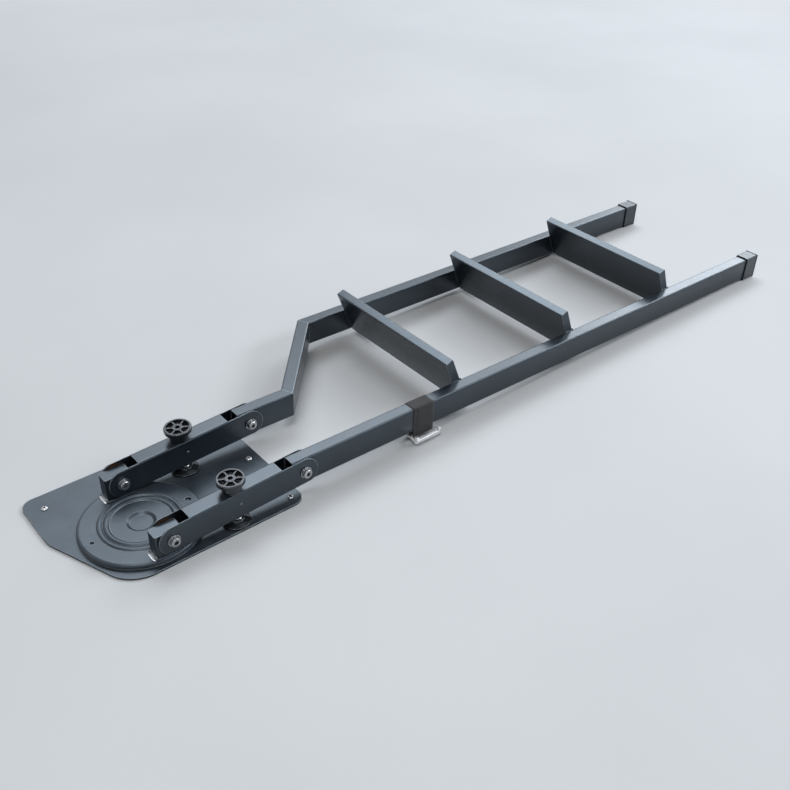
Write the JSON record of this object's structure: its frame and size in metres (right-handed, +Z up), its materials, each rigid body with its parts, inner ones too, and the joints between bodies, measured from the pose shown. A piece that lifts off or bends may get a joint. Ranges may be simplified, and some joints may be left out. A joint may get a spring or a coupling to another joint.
{
  "type": "swivelling tailgate ladder",
  "caption": "Folding ladder with broad treads between offset rails, hinged on forked arms that turn on a pressed turntable disc and stand on adjustable feet.",
  "frame": {"origin": "turntable axis at the underside of the mounting plate", "axes": "+X along the stowed ladder away from the turntable, +Y toward the side where the ladder widens, +Z up, out of the mounting plate"},
  "size_m": [1.3391, 0.3241, 0.0972],
  "materials": {
    "frame_coat": "satin charcoal powder coat",
    "plate_coat": "satin slate grey powder coat",
    "black_plastic": "moulded black plastic",
    "cap_rubber": "moulded black rubber",
    "steel": "zinc plated",
    "bright_steel": "bright plated",
    "bronze": "dull bronze",
    "webbing": "black ribbed webbing"
  },
  "bodies": {
    "base": {"mounting_plate": "plate_coat", "turntable_race": "plate_coat", "pivot_stud": "steel"},
    "turntable": {"turntable_disc": "plate_coat", "near_post": "frame_coat", "far_post": "frame_coat", "near_lower_bolt": "steel", "far_lower_bolt": "steel", "near_post_washers": "bronze", "far_post_washers": "bronze"},
    "arms": {"near_arm": "frame_coat", "far_arm": "frame_coat", "near_ladder_bolt": "steel", "far_ladder_bolt": "steel"},
    "ladder": {"near_rail": "frame_coat", "far_rail_upper": "frame_coat", "far_rail_offset": "frame_coat", "far_rail_lower": "frame_coat", "tread_1": "frame_coat", "tread_2": "frame_coat", "tread_3": "frame_coat", "near_foot_cap": "cap_rubber", "far_foot_cap": "cap_rubber", "near_rail_washers": "bronze", "far_rail_washers": "bronze", "strap": "webbing", "strap_buckle": "bright_steel"},
    "near_foot": {"near_glide": "black_plastic"},
    "far_foot": {"far_glide": "black_plastic"},
    "near_screw": {"near_handwheel": "black_plastic", "near_spindle": "steel"},
    "far_screw": {"far_handwheel": "black_plastic", "far_spindle": "steel"}
  },
  "joints": [
    {"name": "turntable_swing", "type": "hinge", "parent": "base", "child": "turntable", "pos_m": [0, 0, 0.011], "axis": [0, 0, -1], "range_deg": [0, 90]},
    {"name": "arms_lift", "type": "hinge", "parent": "turntable", "child": "arms", "pos_m": [0.006, 0, 0.0335], "axis": [0, -1, 0], "range_deg": [0, 90]},
    {"name": "ladder_drop", "type": "hinge", "parent": "arms", "child": "ladder", "pos_m": [0.20283, 0, 0.04175], "axis": [0, 1, 0], "range_deg": [0, 58]},
    {"name": "near_foot_slide", "type": "slide", "parent": "arms", "child": "near_foot", "axis": [-0.0419, 0, 0.9991], "range_m": [0, 0.004]},
    {"name": "far_foot_slide", "type": "slide", "parent": "arms", "child": "far_foot", "axis": [-0.0419, 0, 0.9991], "range_m": [0, 0.004]},
    {"name": "near_wheel_turn", "type": "hinge", "parent": "near_foot", "child": "near_screw", "pos_m": [0.09942, -0.068, 0.03741], "axis": [-0.0419, 0, 0.9991], "range_deg": [0, 960]},
    {"name": "far_wheel_turn", "type": "hinge", "parent": "far_foot", "child": "far_screw", "pos_m": [0.09942, 0.068, 0.03741], "axis": [-0.0419, 0, 0.9991], "range_deg": [0, 960]}
  ],
  "couplings": [
    {"joint": "near_wheel_turn", "follows": "near_foot_slide", "rad_per_m": 4188.8},
    {"joint": "far_wheel_turn", "follows": "far_foot_slide", "rad_per_m": 4188.8}
  ]
}
